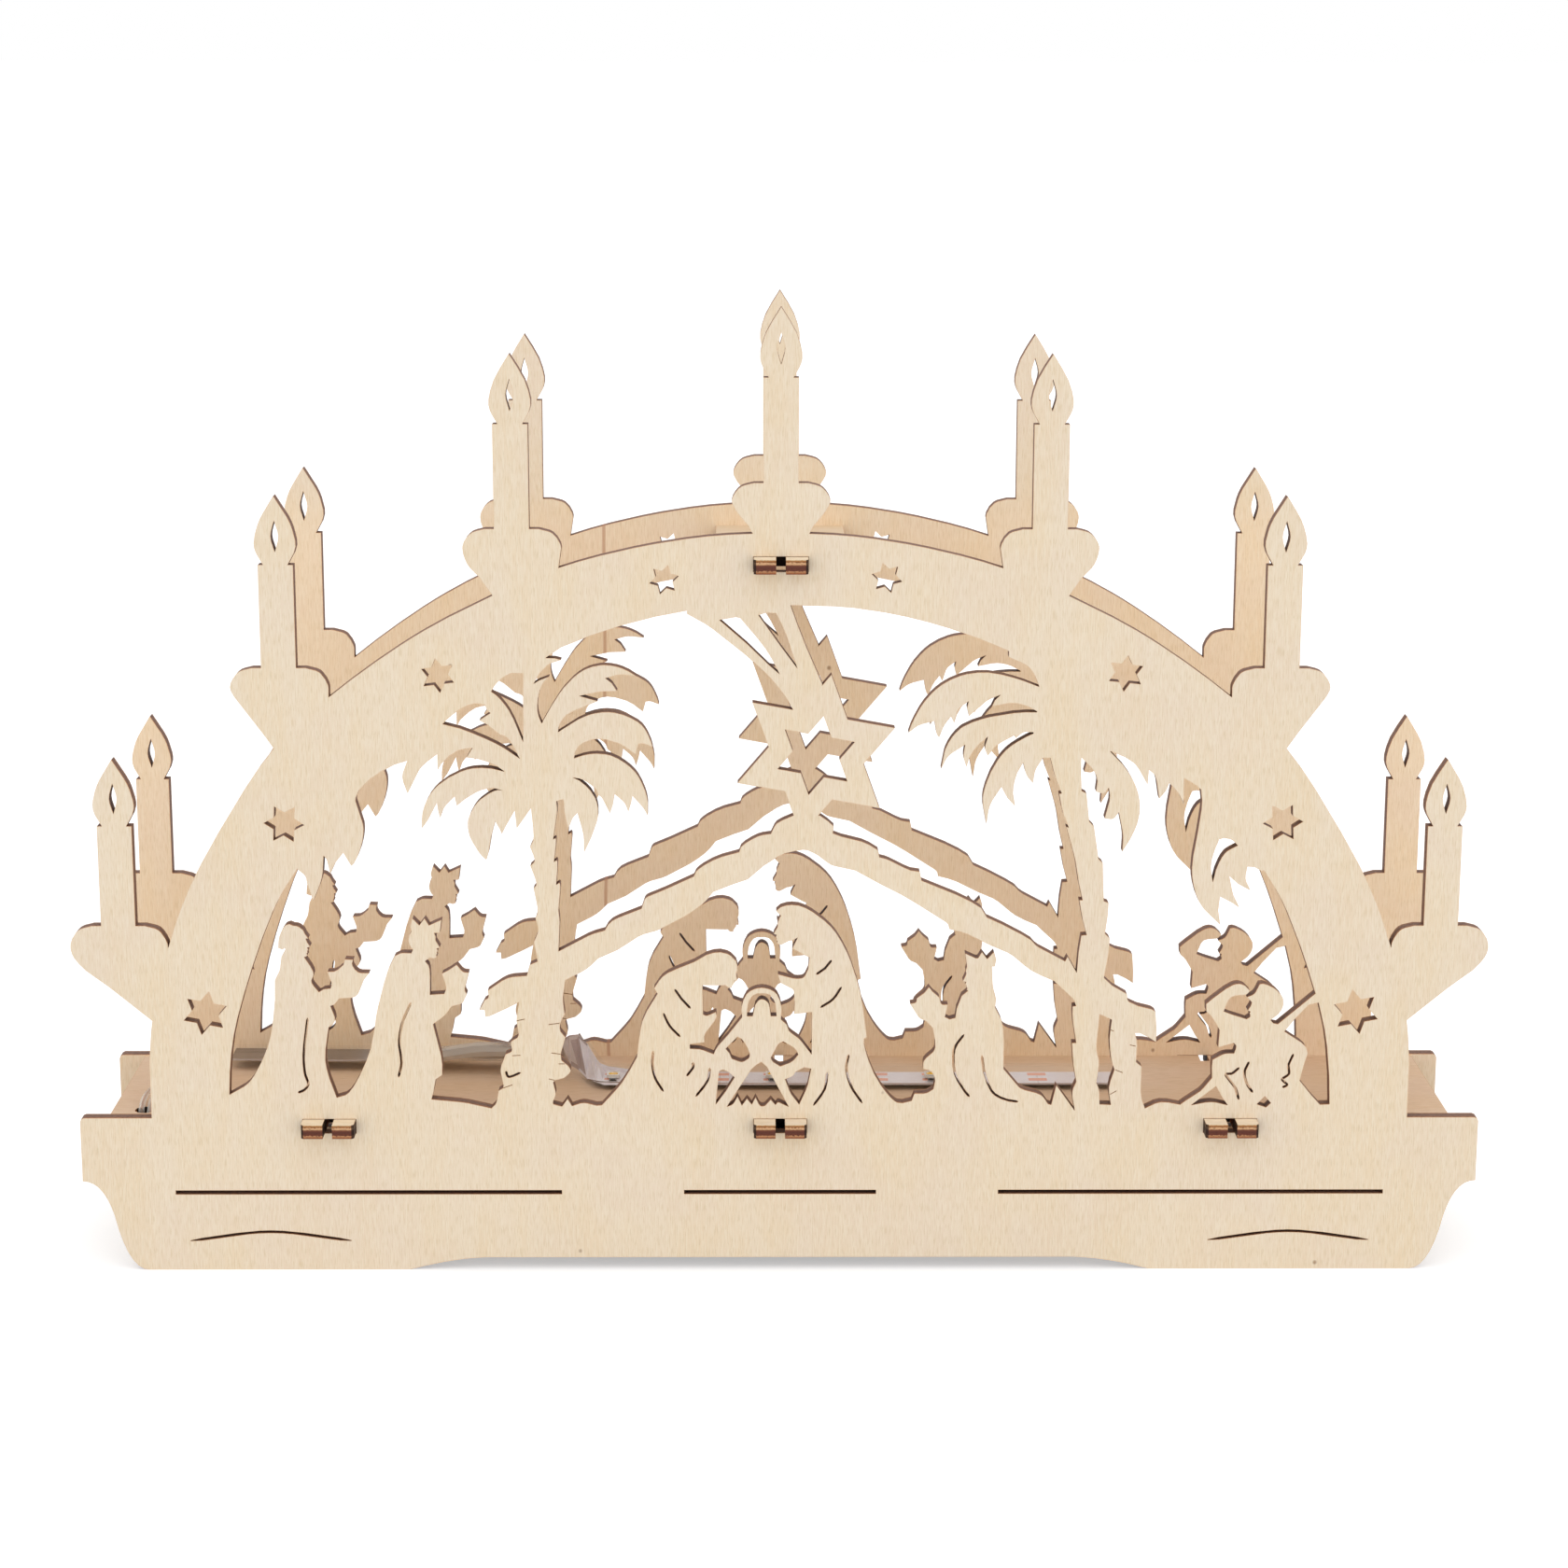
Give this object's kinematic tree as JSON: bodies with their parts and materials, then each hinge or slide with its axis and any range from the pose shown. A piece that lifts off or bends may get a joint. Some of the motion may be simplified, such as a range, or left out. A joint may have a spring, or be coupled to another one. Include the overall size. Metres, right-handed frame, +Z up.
{
  "type": "candle arch",
  "caption": "Free-standing lighted candle arch: two fretwork panels with a Nativity scene, joined by tabbed plates, with a light strip and a battery case.",
  "frame": {"origin": "on the table, under the middle of the arch, at the centre of the whole's bounding box", "axes": "+X to the right as seen from the front, +Y from the front panel to the rear panel, +Z up"},
  "size_m": [0.2958, 0.056, 0.2038],
  "materials": {
    "birch_plywood": "raw birch face, laser-browned cut edges",
    "clear_silicone": "clear, satin",
    "lead_cover": "clear insulation over tinned copper",
    "white_board": "white solder mask",
    "diode_resin": "yellow phosphor resin",
    "black_plastic": "moulded, fine grain",
    "white_plastic": "moulded",
    "nickel_plate": "nickel plated spring steel",
    "cell_wrap": "foil wrap",
    "foam_tape": "white foam, both sides sticky"
  },
  "bodies": {
    "arch": {"front_panel": "birch_plywood", "rear_panel": "birch_plywood", "floor_plate": "birch_plywood", "top_strut": "birch_plywood", "led_sleeve": "clear_silicone", "led_board": "white_board", "led_1": "diode_resin", "led_2": "diode_resin", "led_3": "diode_resin", "led_4": "diode_resin", "led_5": "diode_resin", "led_6": "diode_resin", "mounting_tape": "foam_tape", "battery_case": "black_plastic", "battery_cell_1": "cell_wrap", "battery_cell_2": "cell_wrap", "battery_cell_3": "cell_wrap", "contact_first": "nickel_plate", "contact_bridge_1": "nickel_plate", "contact_bridge_2": "nickel_plate", "contact_last": "nickel_plate", "switch_housing": "black_plastic", "lead_positive": "lead_cover", "lead_negative": "lead_cover"},
    "lid": {"battery_lid": "black_plastic"},
    "knob": {"switch_knob": "white_plastic"}
  },
  "joints": [
    {"name": "lid_slide", "type": "slide", "parent": "arch", "child": "lid", "axis": [1, 0, 0], "range_m": [0, 0.0525]},
    {"name": "knob_slide", "type": "slide", "parent": "arch", "child": "knob", "axis": [0, 1, 0], "range_m": [0, 0.003]}
  ]
}
